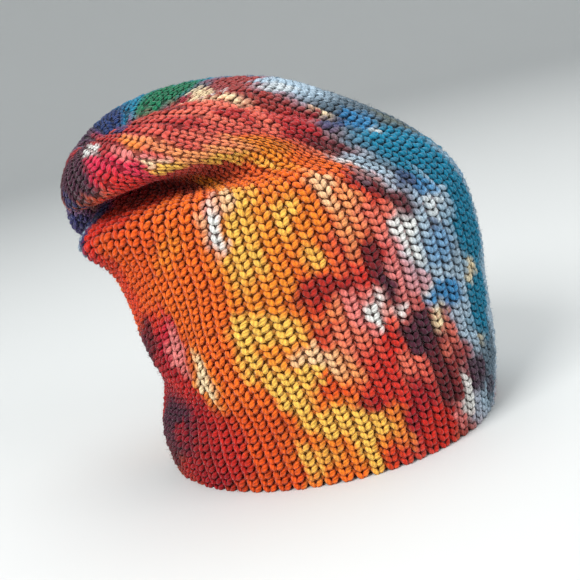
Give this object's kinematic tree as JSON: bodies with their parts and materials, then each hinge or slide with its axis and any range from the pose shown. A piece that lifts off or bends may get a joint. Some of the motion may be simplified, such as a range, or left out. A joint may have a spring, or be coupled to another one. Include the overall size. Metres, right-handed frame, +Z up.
{
  "type": "tie-dye slouch beanie",
  "caption": "Slouchy knit beanie in tie-dyed one-by-one rib, open at its rim, its gathered crown drooping over a crease at one side; worn on the head.",
  "frame": {"origin": "under the middle of the hat, on the plane of its rim", "axes": "+Z up through the crown; +X away from the side the crown droops to; +Y away from the side with the open crease"},
  "size_m": [0.2464, 0.199, 0.2288],
  "materials": {
    "knit": "matte"
  },
  "bodies": {
    "root": {"knit_body": "knit"}
  },
  "joints": []
}
